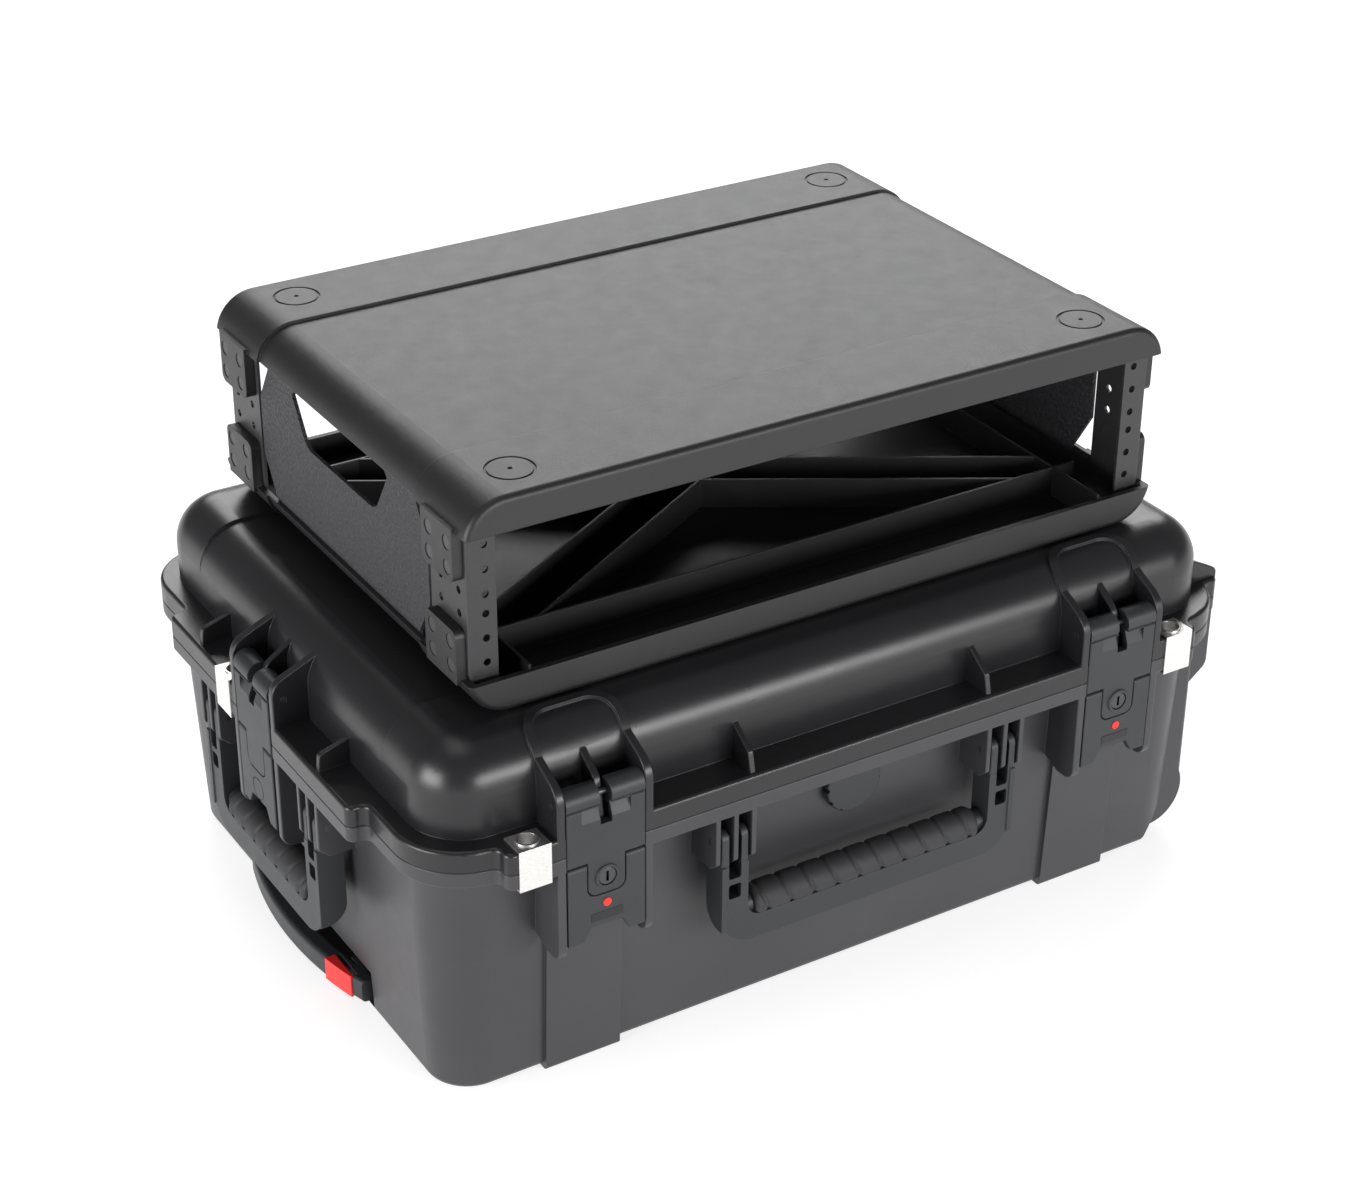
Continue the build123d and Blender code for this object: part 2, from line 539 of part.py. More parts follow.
def handle_pins(half):
    pins = []
    reach = FIN_PITCH + FIN_HALF
    for side in (-1, 1):
        pins.append(rod_x(HANDLE_PIN_R, side * half - reach, side * half + reach,
                          HANDLE_PIN_Y, HANDLE_PIN_Z))
    return pins


def bar_outline(grow=0.0):
    """Bowed bar of the pull handle, seen from above."""
    outer = ThreePointArc((-286 - grow, -84), (-298 - grow, 0), (-286 - grow, 84))
    inner = ThreePointArc((-274, 84), (-285, 0), (-274, -84))
    return make_face([outer, Line(outer @ 1, inner @ 0), inner, Line(inner @ 1, outer @ 0)])


def pull_bar():
    bar = Pos(0, 0, BAR_LOW) * extrude(bar_outline(), BAR_HIGH - BAR_LOW)
    bar = fillet(bar.edges().filter_by(GeomType.CIRCLE), 3.0)
    for side in (-1, 1):
        bar += block(-280, -270, side * TUBE_Y - 9, side * TUBE_Y + 9, BAR_LOW, BAR_HIGH)
    return bar - button_space()


def button_space():
    return block(-310, -284.5, BUTTON_Y0 - 0.3, BUTTON_Y1 + 0.3, 0, 40)


def release_button():
    button = Pos(0, 0, BAR_LOW) * extrude(bar_outline(0.8), BAR_HIGH - BAR_LOW)
    return button & block(-310, -287.5, BUTTON_Y0, BUTTON_Y1, 0, 40)


def tube_pair(stage, x0, x1):
    outer, inner = TUBE_RADII[stage]
    pair = []
    for side in (-1, 1):
        tube = rod_x(outer, x0, x1, side * TUBE_Y, TUBE_Z)
        pair.append(tube - rod_x(inner, x0 - 1, x1 + 1, side * TUBE_Y, TUBE_Z))
    return pair


# ---------------------------------------------------------------- wheels

def wheel_housing(side):
    """Cup that wraps one wheel and carries its axle."""
    low, high = side * WHEEL_Y - HOUSING_HALF, side * WHEEL_Y + HOUSING_HALF
    cup = rod_y(HOUSING_R, low, high, WHEEL_X, WHEEL_Z)
    cup &= block(WHEEL_X - 40, WHEEL_X + 14, low, high, 8, 90)
    cup -= rod_y(HOUSING_R - 3.5, low + 3.5, high - 3.5, WHEEL_X, WHEEL_Z)
    return cup - rod_y(AXLE_R + 0.02, low - 1, high + 1, WHEEL_X, WHEEL_Z)


def tyre(side):
    low, high = side * WHEEL_Y - WHEEL_HALF, side * WHEEL_Y + WHEEL_HALF
    ring = rod_y(WHEEL_R, low, high, WHEEL_X, WHEEL_Z)
    ring = fillet(ring.edges(), 4)
    return ring - rod_y(HUB_R, low - 1, high + 1, WHEEL_X, WHEEL_Z)


def hub(side):
    """Wheel hub with five round openings."""
    low, high = side * WHEEL_Y - WHEEL_HALF, side * WHEEL_Y + WHEEL_HALF
    disc = rod_y(HUB_R - 0.05, low + 0.5, high - 0.5, WHEEL_X, WHEEL_Z)
    for face in (low, high - 4):
        ring = rod_y(HUB_R - 4, face, face + 4, WHEEL_X, WHEEL_Z)
        disc -= ring - rod_y(8, face - 1, face + 5, WHEEL_X, WHEEL_Z)
    for index in range(5):
        spoke = rod_y(3.2, low - 1, high + 1, 12, 0)
        disc -= Pos(WHEEL_X, 0, WHEEL_Z) * Rot(0, 72 * index, 0) * spoke
    return disc - rod_y(AXLE_R + 0.06, low - 1, high + 1, WHEEL_X, WHEEL_Z)


# ---------------------------------------------------------------- rack cage, centred on its own middle

def cage_section(half_x, half_z, radius):
    """Cross-section of the closed cage in X and Z, its four long edges rounded."""
    return RectangleRounded(2 * half_x, 2 * half_z, radius)


def cage_slab(half_x, half_z, radius, y0, y1):
    return extrude(Plane.XZ.offset(-y1) * cage_section(half_x, half_z, radius), y1 - y0)


def cage_top_shell():
    """Upper tray with raised end bands, corner tabs, ribs and four round recesses."""
    whole = cage_slab(CAGE_X, CAGE_HALF_Z, CAGE_EDGE_R, -CAGE_HALF_Y, CAGE_HALF_Y)
    whole = fillet(whole.faces().sort_by(Axis.Y)[0].edges(), CAGE_LIP_R)
    whole = fillet(whole.faces().sort_by(Axis.Y)[-1].edges(), CAGE_LIP_R)
    waist = block(-300, 300, -CAGE_BAND_Y, CAGE_BAND_Y, -100, 100)
    slim = cage_slab(CAGE_X - CAGE_STEP, CAGE_HALF_Z - CAGE_STEP, CAGE_EDGE_R - CAGE_STEP,
                     -CAGE_BAND_Y, CAGE_BAND_Y)
    shell = (whole - waist) + slim
    shell &= block(-300, 300, -200, 200, SKIRT_LOW, 100)
    shell -= cage_inside(CAGE_HALF_Y - 4)
    shell += cage_ribs(CAGE_HALF_Z - CAGE_STEP - CAGE_WALL)
    for x in (-DISC_X, DISC_X):
        for y in (-DISC_Y, DISC_Y):
            groove = rod_z(DISC_R, CAGE_HALF_Z - 0.8, 80, x, y) - rod_z(DISC_R - 1.5, 60, 80, x, y)
            shell -= groove + rod_z(1.5, CAGE_HALF_Z - 0.8, 80, x, y)
    for side in (-1, 1):
        for end in (-1, 1):
            shell += corner_tab(side, end)
    return shell


def cage_inside(reach):
    """Space inside the shells' walls."""
    inset = CAGE_STEP + CAGE_WALL
    return cage_slab(CAGE_INNER_X, CAGE_HALF_Z - inset, CAGE_EDGE_R - inset, -reach, reach)


def cage_ribs(roof):
    """Stiffening ribs under the shell's plate: pairs from corner to corner, and a frame round them."""
    ribs = Part()
    for y in (-RIB_Y, RIB_Y):
        ribs += block(-CAGE_INNER_X, CAGE_INNER_X, y - RIB_HALF, y + RIB_HALF, RIB_TOP, roof)
    for x in (-RIB_END_X, RIB_END_X):
        ribs += block(x - RIB_HALF, x + RIB_HALF, -CAGE_HALF_Y + 4, CAGE_HALF_Y - 4, RIB_TOP, roof)
    diagonals = Part()
    for turn in (-RIB_SLOPE_DEG, RIB_SLOPE_DEG):
        for y in (-RIB_PAIR_Y, RIB_PAIR_Y):
            rib = block(-300, 300, -RIB_HALF, RIB_HALF, RIB_TOP, roof)
            diagonals += Pos(0, y, 0) * Rot(0, 0, turn) * rib
    ribs += diagonals & block(-RIB_END_X, RIB_END_X, -RIB_Y, RIB_Y, RIB_TOP, roof)
    reach = RAIL_INNER_X - 0.5
    return ribs & block(-reach, reach, -CAGE_HALF_Y + 3, CAGE_HALF_Y - 3, RIB_TOP, roof + 0.5)


def corner_tab(side, end):
    """Tab that hangs from the skirt over a rail, with counterbored rivet holes."""
    edge = CAGE_HALF_Y - 12.5
    low_y, high_y = sorted((end * edge, end * (edge - 38)))
    inner_x, outer_x = CAGE_INNER_X, CAGE_X + 1.8
    low_x, high_x = sorted((side * inner_x, side * outer_x))
    tab = block(low_x, high_x, low_y, high_y, 15.5, SKIRT_LOW + 3)
    tab = fillet(tab.edges().filter_by(Axis.X).group_by(Axis.Z)[0], 5)
    for depth in RIVET_DEPTHS:
        for height in RIVET_HEIGHTS:
            y = end * (RAIL_FRONT - depth)
            tab -= rod_x(RIVET_R + 0.05, low_x - 1, high_x + 1, y, height)
            head = sorted((side * (outer_x - 1.5), side * (outer_x + 1)))
            tab -= rod_x(RIVET_HEAD_R + 0.05, head[0], head[1], y, height)
    return tab


def rail(side, end):
    """L-shaped steel rail with the standard hole pattern."""
    front = end * RAIL_FRONT
    low_x, high_x = sorted((side * RAIL_INNER_X, side * CAGE_INNER_X))
    low_y, high_y = sorted((front, front - end * RAIL_THICK))
    angle = block(low_x, high_x, low_y, high_y, -RAIL_HALF_Z, RAIL_HALF_Z)
    low_x, high_x = sorted((side * (CAGE_INNER_X - RAIL_THICK), side * CAGE_INNER_X))
    low_y, high_y = sorted((front, front - end * RAIL_DEPTH))
    angle += block(low_x, high_x, low_y, high_y, -RAIL_HALF_Z, RAIL_HALF_Z)
    corner = angle.edges().filter_by(Axis.Z).sort_by_distance((side * CAGE_INNER_X, front, 0))[0]
    angle = fillet(corner, 1.5)
    for height in RACK_HOLES_Z:
        for sign in (-1, 1):
            angle -= rod_y(RAIL_HOLE_R, low_y - 1, high_y + 1, side * RAIL_HOLE_X, sign * height)
    for depth in RIVET_DEPTHS:
        for height in (*RIVET_HEIGHTS, 7.5):
            for sign in (-1, 1):
                y = end * (RAIL_FRONT - depth)
                angle -= rod_x(RIVET_R + 0.05, low_x - 1, high_x + 1, y, sign * height)
    return angle & cage_inside(200)


def side_panel(side):
    """Textured side panel with a hand hole and relieved corners."""
    half_y, half_z = 116.0, 58.0
    low_x, high_x = sorted((side * (CAGE_INNER_X - 2.5), side * CAGE_INNER_X))
    outline = [(-half_y, -20), (-half_y + 16, -46), (-half_y + 16, -half_z), (half_y - 16, -half_z),
               (half_y - 16, -46), (half_y, -20), (half_y, 20), (half_y - 16, 46),
               (half_y - 16, half_z), (-half_y + 16, half_z), (-half_y + 16, 46), (-half_y, 20)]
    face = make_face(Polyline(*outline, close=True))
    hole = make_face(Polyline((-48, 11), (48, 11), (66, 40), (60, 46), (-60, 46), (-66, 40), close=True))
    hole = fillet(hole.vertices().group_by(Axis.Y)[0], 14)
    panel = extrude(Plane.YZ.offset(low_x) * (face - hole), high_x - low_x)
    return panel & cage_inside(200)


def rivet(side, end, depth, height):
    """Rivet that holds a shell's tab to a rail."""
    y = end * (RAIL_FRONT - depth)
    shank = sorted((side * (CAGE_INNER_X - RAIL_THICK), side * (CAGE_X + 0.8)))
    head = sorted((side * (CAGE_X + 0.3), side * (CAGE_X + 1.3)))
    body = rod_x(RIVET_R, shank[0], shank[1], y, height)
    return body + rod_x(RIVET_HEAD_R, head[0], head[1], y, height)


def in_cage(shape):
    return Pos(CAGE_PLACE_X, CAGE_PLACE_Y, CAGE_Z) * shape


# ---------------------------------------------------------------- soft parts

def foam_corner(x_side, y_side):
    """Stepped foam block in one corner of the base, which holds the packed cage."""
    gap = 1.5
    inset = WALL + gap
    outline = RectangleRounded(2 * (BASE_X - inset), 2 * (BASE_Y - inset), BASE_CORNER_R - inset)
    lining = Pos(0, 0, BASE_BOTTOM + WALL) * extrude(outline, SEAM_Z - 15, taper=-DRAFT_DEG)
    low_x, high_x = sorted((x_side * 190, x_side * 300))
    low_y, high_y = sorted((y_side * 110, y_side * 210))
    bottom = FLOOR_Z + FLOOR_THICK
    corner = lining & block(low_x, high_x, low_y, high_y, bottom, 160)
    if x_side > 0:
        low, high = sorted((y_side * 139, y_side * 200))
        corner -= block(WHEEL_X - HOUSING_R - WALL - 2, 320, low, high, 0, WHEEL_Z + HOUSING_R + WALL + 2)
    return corner - block(-251, 251, -175, 175, PACKED_CAGE_Z, 200)


def inner_floor():
    """Flat floor that covers the pull handle's tubes."""
    plate = block(-258, 222, -182, 182, FLOOR_Z, FLOOR_Z + FLOOR_THICK)
    plate = fillet(plate.edges().filter_by(Axis.Z), 25)
    for x in (-200, -60, 80, 200):
        plate -= rod_z(2.05, 0, 60, x, 0)
    return plate


def floor_screws():
    screws = []
    for x in (-200, -60, 80, 200):
        head = rod_z(4.5, FLOOR_Z + FLOOR_THICK, FLOOR_Z + FLOOR_THICK + 2.2, x, 0)
        screws.append(head + rod_z(2.0, FLOOR_Z, FLOOR_Z + FLOOR_THICK, x, 0))
    return screws


# ---------------------------------------------------------------- pressure valve

VALVE_Z, VALVE_R, VALVE_STEM_R = 142.5, 20.0, 8.0
VALVE_WALL_Y = -196.6


def pressure_valve():
    """Round cap on a threaded stem through the front wall."""
    cap = rod_y(VALVE_R, VALVE_WALL_Y - 7.5, VALVE_WALL_Y - 2.2, 0, VALVE_Z)
    cap = fillet(cap.faces().sort_by(Axis.Y)[0].edges(), 1.5)
    for index in range(12):
        slot = rod_y(1.6, VALVE_WALL_Y - 9, VALVE_WALL_Y, VALVE_R, 0)
        cap -= Pos(0, 0, VALVE_Z) * Rot(0, 30 * index, 0) * slot
    return cap + rod_y(VALVE_STEM_R, VALVE_WALL_Y - 3, VALVE_WALL_Y + 12, 0, VALVE_Z)


def valve_nut():
    nut = Plane.XZ.offset(-(VALVE_WALL_Y + 9)) * RegularPolygon(13, 6)
    nut = Pos(0, 0, VALVE_Z) * extrude(nut, 4)
    return nut - rod_y(VALVE_STEM_R + 0.05, VALVE_WALL_Y, VALVE_WALL_Y + 20, 0, VALVE_Z)


# ---------------------------------------------------------------- assembly

def solids_of(shapes):
    """Every separate solid of the given shapes."""
    found = []
    for shape in shapes:
        found.extend(shape.solids())
    return found


def keep(name, *shapes):
    """Write one named piece, or one group of identical pieces."""
    solids = solids_of(shapes)
    node = solids[0] if len(solids) == 1 else Compound(children=solids)
    node.label = name
    export_step(node, f"parts/{name}.step")


keep("base_shell", base_shell())
keep("lid_shell", lid_shell())
keep("lid_gasket", gasket())

plate_base = padlock_plate(BASE_FLANGE_BOTTOM, SEAM_Z, BASE_FLANGE_BOTTOM - PLATE_THICK, 0)
plate_lid = padlock_plate(SEAM_Z, LID_FLANGE_TOP, LID_FLANGE_TOP + PLATE_THICK, BUSH_RING)
keep("base_padlock_plates", *[at_side(plate_base, side, along) for side, along in PLATES])
keep("lid_padlock_plates", *[at_side(plate_lid, side, along) for side, along in PLATES])

pivot_pin = rod_x(PIVOT_R, -EAR_OUTER, EAR_OUTER, PIVOT_Y, PIVOT_Z)
strike_pin = rod_x(STRIKE_R, -29.4, 29.4, STRIKE_Y, STRIKE_Z)
keep("latch_pivot_pins", *[at_side(pivot_pin, *place) for place in LATCHES.values()])
keep("latch_strike_pins", *[at_side(strike_pin, *place) for place in LATCHES.values()])

trigger_pin = rod_x(TRIGGER_PIN_R, -23.8, 23.8, TRIGGER_PIN_Y, TRIGGER_PIN_Z)
for name, place in LATCHES.items():
    locked = name in LOCKED_LATCHES
    half = LATCH_HALF if locked else SIDE_LATCH_HALF
    body = latch_body(half)
    if locked:
        body -= rod_y(LOCK_R + 0.06, -20, 20, 0, LOCK_Z)
        body += lock_collar()
    keep(f"{name}_latch", at_side(body, *place))
    keep(f"{name}_trigger_pin", at_side(trigger_pin, *place))
    keep(f"{name}_trigger", at_side(trigger(half, locked), *place))
    if locked:
        keep(f"{name}_lock_plug", at_side(lock_plug(), *place))
        keep(f"{name}_lock_indicator", at_side(lock_indicator(), *place))
        keep(f"{name}_lock_label", at_side(lock_label(), *place))

hinge_pin = rod_x(HINGE_PIN_R, -HINGE_HALF, HINGE_HALF, HINGE_IN, HINGE_Z)
keep("hinge_pins", *[at_side(hinge_pin, REAR, along) for along in (-HINGE_X, HINGE_X)])

for name, side, half, grip_z in (("front", FRONT, FRONT_HANDLE_HALF, FRONT_GRIP_Z),
                                 ("side", LEFT, SIDE_HANDLE_HALF, SIDE_GRIP_Z)):
    keep(f"{name}_handle_frame", at_side(carry_handle(half, grip_z), side))
    keep(f"{name}_handle_grip", at_side(grip_sleeve(half, grip_z), side))
    keep(f"{name}_handle_pins", *[at_side(pin, side) for pin in handle_pins(half)])

keep("pressure_valve", pressure_valve())
keep("pressure_valve_nut", valve_nut())

keep("pull_handle_outer_tubes", *tube_pair(0, POCKET_BACK, 200))
keep("pull_handle_middle_tubes", *tube_pair(1, POCKET_BACK - 3, 190))
keep("pull_handle_inner_tubes", *tube_pair(2, POCKET_BACK - 6, 180))
keep("pull_handle_bar", pull_bar())
keep("release_button", release_button())
keep("inner_floor", inner_floor())
keep("floor_screws", *floor_screws())

keep("wheel_housings", wheel_housing(-1), wheel_housing(1))
reach = HOUSING_HALF
keep("wheel_axles", *[rod_y(AXLE_R, side * WHEEL_Y - reach, side * WHEEL_Y + reach, WHEEL_X, WHEEL_Z)
                      for side in (-1, 1)])
for name, side in (("front", -1), ("rear", 1)):
    keep(f"{name}_wheel_tyre", tyre(side))
    keep(f"{name}_wheel_hub", hub(side))

keep("foam_corner_blocks", *[foam_corner(x, y) for x in (-1, 1) for y in (-1, 1)])
lid_pad = block(-235, 235, -150, 150, 222.5, CASE_TOP - LID_WALL)
keep("lid_foam_pad", fillet(lid_pad.edges().filter_by(Axis.Z), 20))

top_shell = cage_top_shell()
keep("rack_top_shell", in_cage(top_shell))
keep("rack_bottom_shell", in_cage(Rot(180, 0, 0) * top_shell))
keep("rack_front_rails", in_cage(rail(-1, -1)), in_cage(rail(1, -1)))
keep("rack_rear_rails", in_cage(rail(-1, 1)), in_cage(rail(1, 1)))
keep("rack_side_panels", in_cage(side_panel(-1)), in_cage(side_panel(1)))
keep("rack_rivets", *[in_cage(rivet(side, end, depth, sign * height))
                      for side in (-1, 1) for end in (-1, 1) for depth in RIVET_DEPTHS
                      for height in RIVET_HEIGHTS for sign in (-1, 1)])
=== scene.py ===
import json
import math

import bmesh
import bpy
from mathutils import Euler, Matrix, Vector


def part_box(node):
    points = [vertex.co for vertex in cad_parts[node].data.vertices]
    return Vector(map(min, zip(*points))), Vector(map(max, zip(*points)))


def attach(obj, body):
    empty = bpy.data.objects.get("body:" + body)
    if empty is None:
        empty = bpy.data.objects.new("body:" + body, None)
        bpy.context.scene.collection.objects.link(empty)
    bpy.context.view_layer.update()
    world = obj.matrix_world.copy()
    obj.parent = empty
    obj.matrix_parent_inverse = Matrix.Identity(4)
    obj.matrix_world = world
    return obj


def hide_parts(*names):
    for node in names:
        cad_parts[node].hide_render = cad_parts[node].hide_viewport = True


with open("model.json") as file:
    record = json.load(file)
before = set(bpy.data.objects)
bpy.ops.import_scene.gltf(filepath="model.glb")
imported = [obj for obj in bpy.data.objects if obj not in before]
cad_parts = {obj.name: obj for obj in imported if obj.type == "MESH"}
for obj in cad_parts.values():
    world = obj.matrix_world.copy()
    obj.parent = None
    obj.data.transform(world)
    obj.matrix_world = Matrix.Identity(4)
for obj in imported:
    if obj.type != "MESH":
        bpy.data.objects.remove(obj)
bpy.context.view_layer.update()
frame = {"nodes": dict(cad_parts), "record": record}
NODES = frame["nodes"]
SLOTS = {part["node"]: part["material_slot"] for part in frame["record"]["subparts"]}
BODY_OF = {node: body for body, nodes in frame["record"]["behaviour"]["bodies"].items() for node in nodes}

GRIP_BORE = 0.00757
GRIP_SKIN = 0.0006
GRIP_END_ROUND = 0.003
GRIP_BLADE_BACK = 0.0063
GRIP_BLADE_TOP = -0.0041
GROOVE_PITCH = 0.0175
GROOVE_WIDTH = 0.085
GROOVE_SLANT = 0.2
GROOVE_DEPTH = 0.0013

FOAM_PITCH = 0.030
FOAM_TROUGH = 0.012
FOAM_CORNER = 0.020
FOAM_EDGE = 0.35
FOAM_VOXEL = 0.004

PHOTO_WIDTH = 1371
FOCAL_PIXELS = 2801.0
SENSOR_MM = 36.0
CAMERA_PLACE = (-0.8563, -1.3886, 1.0879)
CAMERA_TURN, CAMERA_DROP, CAMERA_ROLL = 31.725, 29.2425, 0.375

FLOOR_REACH = 6.0
FLOOR_TONE = (0.55, 0.55, 0.55, 1.0)
FLOOR_GLOW = 0.72


# ---------------------------------------------------------------- node helpers

def new_material(name):
    """A material with an empty node tree, its principled shader and its output."""
    material = bpy.data.materials.new(name)
    material.use_nodes = True
    tree = material.node_tree
    tree.nodes.clear()
    output = tree.nodes.new("ShaderNodeOutputMaterial")
    shader = tree.nodes.new("ShaderNodeBsdfPrincipled")
    tree.links.new(shader.outputs["BSDF"], output.inputs["Surface"])
    return material, tree, shader


def place(tree):
    """Object coordinates: every piece sits at the origin, so a pattern runs on across pieces."""
    return tree.nodes.new("ShaderNodeTexCoord").outputs["Object"]


def noise_value(tree, vector, scale, detail=2.0, rough=0.5):
    node = tree.nodes.new("ShaderNodeTexNoise")
    node.inputs["Scale"].default_value = scale
    node.inputs["Detail"].default_value = detail
    node.inputs["Roughness"].default_value = rough
    tree.links.new(vector, node.inputs["Vector"])
    return node.outputs["Fac"]


def ramp(tree, value, low, high, out_low=0.0, out_high=1.0):
    """Map a value from low..high to out_low..out_high, clamped."""
    node = tree.nodes.new("ShaderNodeMapRange")
    node.inputs["From Min"].default_value = low
    node.inputs["From Max"].default_value = high
    node.inputs["To Min"].default_value = out_low
    node.inputs["To Max"].default_value = out_high
    tree.links.new(value, node.inputs["Value"])
    return node.outputs["Result"]


def mix_colour(tree, factor, first, second):
    node = tree.nodes.new("ShaderNodeMix")
    node.data_type = "RGBA"
    tree.links.new(factor, node.inputs["Factor"])
    for socket, colour in (("A", first), ("B", second)):
        target = [item for item in node.inputs if item.name == socket and item.type == "RGBA"][0]
        if isinstance(colour, tuple):
            target.default_value = (*colour, 1.0)
        else:
            tree.links.new(colour, target)
    return [item for item in node.outputs if item.type == "RGBA"][0]


def bump(tree, height, distance, strength=1.0, normal=None):
    node = tree.nodes.new("ShaderNodeBump")
    node.inputs["Distance"].default_value = distance
    node.inputs["Strength"].default_value = strength
    tree.links.new(height, node.inputs["Height"])
    if normal is not None:
        tree.links.new(normal, node.inputs["Normal"])
    return node.outputs["Normal"]


def scaled(colour, factor):
    return tuple(min(1.0, channel * factor) for channel in colour)


def soft_edges(tree, radius):
    """Normal that rounds the edges of a piece over a small radius, for their highlights."""
    node = tree.nodes.new("ShaderNodeBevel")
    node.samples = 4
    node.inputs["Radius"].default_value = radius
    return node.outputs["Normal"]


def edge_mask(tree, rounded):
    """1 on the edges of a piece and 0 on its faces, from how far its normal is turned there."""
    geometry = tree.nodes.new("ShaderNodeNewGeometry")
    dot = tree.nodes.new("ShaderNodeVectorMath")
    dot.operation = "DOT_PRODUCT"
    tree.links.new(rounded, dot.inputs[0])
    tree.links.new(geometry.outputs["Normal"], dot.inputs[1])
    return ramp(tree, dot.outputs["Value"], 0.99, 0.85)


# ---------------------------------------------------------------- materials

def moulded_plastic(name, colour, roughness, grain_scale, grain_height, spread=0.12, specular=0.5,
                    edge=0.0008, wear=1.8):
    """Moulded resin: fine grain, cloudy gloss, slight change of tone, pale scuffs and rubbed edges."""
    material, tree, shader = new_material(name)
    vector = place(tree)
    rounded = soft_edges(tree, edge)
    cloud = noise_value(tree, vector, 9.0, 4.0)
    patches = ramp(tree, cloud, 0.3, 0.7)
    tone = mix_colour(tree, patches, scaled(colour, 1 - spread), scaled(colour, 1 + spread))
    scuff = noise_value(tree, vector, 140.0, 6.0, 0.75)
    mark = ramp(tree, scuff, 0.66, 0.78, 0.0, 0.35)
    tone = mix_colour(tree, mark, tone, scaled(colour, 2.0))
    tone = mix_colour(tree, edge_mask(tree, rounded), tone, scaled(colour, wear))
    tree.links.new(tone, shader.inputs["Base Color"])
    smear = noise_value(tree, vector, 60.0, 6.0, 0.7)
    gloss = ramp(tree, smear, 0.3, 0.7, roughness - 0.03, roughness + 0.03)
    tree.links.new(gloss, shader.inputs["Roughness"])
    grain = noise_value(tree, vector, grain_scale, 3.0, 0.6)
    tree.links.new(bump(tree, grain, grain_height, 1.0, rounded), shader.inputs["Normal"])
    shader.inputs["Specular IOR Level"].default_value = specular
    return material


def pebbled_sheet(name, colour):
    """Haircell sheet: small rounded pebbles with pale tops."""
    material, tree, shader = new_material(name)
    vector = place(tree)
    cells = tree.nodes.new("ShaderNodeTexVoronoi")
    cells.feature = "SMOOTH_F1"
    cells.inputs["Scale"].default_value = 420.0
    cells.inputs["Smoothness"].default_value = 0.6
    tree.links.new(vector, cells.inputs["Vector"])
    height = ramp(tree, cells.outputs["Distance"], 0.1, 0.65, 1.0, 0.0)
    speck = noise_value(tree, vector, 700.0, 3.0, 0.7)
    tone = mix_colour(tree, ramp(tree, speck, 0.45, 0.75), scaled(colour, 0.75), scaled(colour, 2.6))
    tree.links.new(tone, shader.inputs["Base Color"])
    tree.links.new(bump(tree, height, 0.0006), shader.inputs["Normal"])
    tree.links.new(ramp(tree, height, 0.0, 1.0, 0.72, 0.5), shader.inputs["Roughness"])
    return material


def soft_rubber(name, colour, roughness=0.62):
    """Matte elastomer with a faint bloom."""
    material, tree, shader = new_material(name)
    vector = place(tree)
    bloom = ramp(tree, noise_value(tree, vector, 60.0, 5.0), 0.4, 0.75)
    tree.links.new(mix_colour(tree, bloom, colour, scaled(colour, 1.5)), shader.inputs["Base Color"])
    tree.links.new(ramp(tree, bloom, 0.0, 1.0, roughness, roughness + 0.12), shader.inputs["Roughness"])
    grain = noise_value(tree, vector, 1600.0, 2.0)
    tree.links.new(bump(tree, grain, 0.00012), shader.inputs["Normal"])
    return material


def metal(name, colour, roughness, brush=(1.0, 1.0, 30.0), coated=False):
    """Brushed or coated metal: streaks along one direction, small pits, rubbed edges."""
    material, tree, shader = new_material(name)
    vector = place(tree)
    rounded = soft_edges(tree, 0.0004)
    stretch = tree.nodes.new("ShaderNodeMapping")
    stretch.inputs["Scale"].default_value = brush
    tree.links.new(vector, stretch.inputs["Vector"])
    streak = noise_value(tree, stretch.outputs["Vector"], 120.0, 4.0, 0.7)
    tone = mix_colour(tree, ramp(tree, streak, 0.3, 0.7), scaled(colour, 0.82), scaled(colour, 1.12))
    tone = mix_colour(tree, edge_mask(tree, rounded), tone, scaled(colour, 1.3 if not coated else 2.2))
    tree.links.new(tone, shader.inputs["Base Color"])
    gloss = ramp(tree, streak, 0.25, 0.75, roughness - 0.07, roughness + 0.09)
    tree.links.new(gloss, shader.inputs["Roughness"])
    fine = noise_value(tree, vector, 1300.0, 2.0)
    height = 0.00006 if not coated else 0.00015
    tree.links.new(bump(tree, fine, height, 1.0, rounded), shader.inputs["Normal"])
    shader.inputs["Metallic"].default_value = 0.0 if coated else 1.0
    return material


def open_cell_foam(name, colour):
    """Charcoal foam with visible cells; the cell hollows are painted darker and the rims lighter, as
    painted shade.
    """
    material, tree, shader = new_material(name)
    vector = place(tree)
    cells = tree.nodes.new("ShaderNodeTexVoronoi")
    cells.inputs["Scale"].default_value = 900.0
    tree.links.new(vector, cells.inputs["Vector"])
    height = cells.outputs["Distance"]
    # Painted shade: the colour darkens into the cell hollows, following the same depth as the bump.
    tone = mix_colour(tree, ramp(tree, height, 0.1, 0.6), scaled(colour, 0.45), scaled(colour, 1.25))
    tree.links.new(tone, shader.inputs["Base Color"])
    tree.links.new(bump(tree, height, 0.0008), shader.inputs["Normal"])
    shader.inputs["Roughness"].default_value = 0.95
    shader.inputs["Specular IOR Level"].default_value = 0.15
    return material


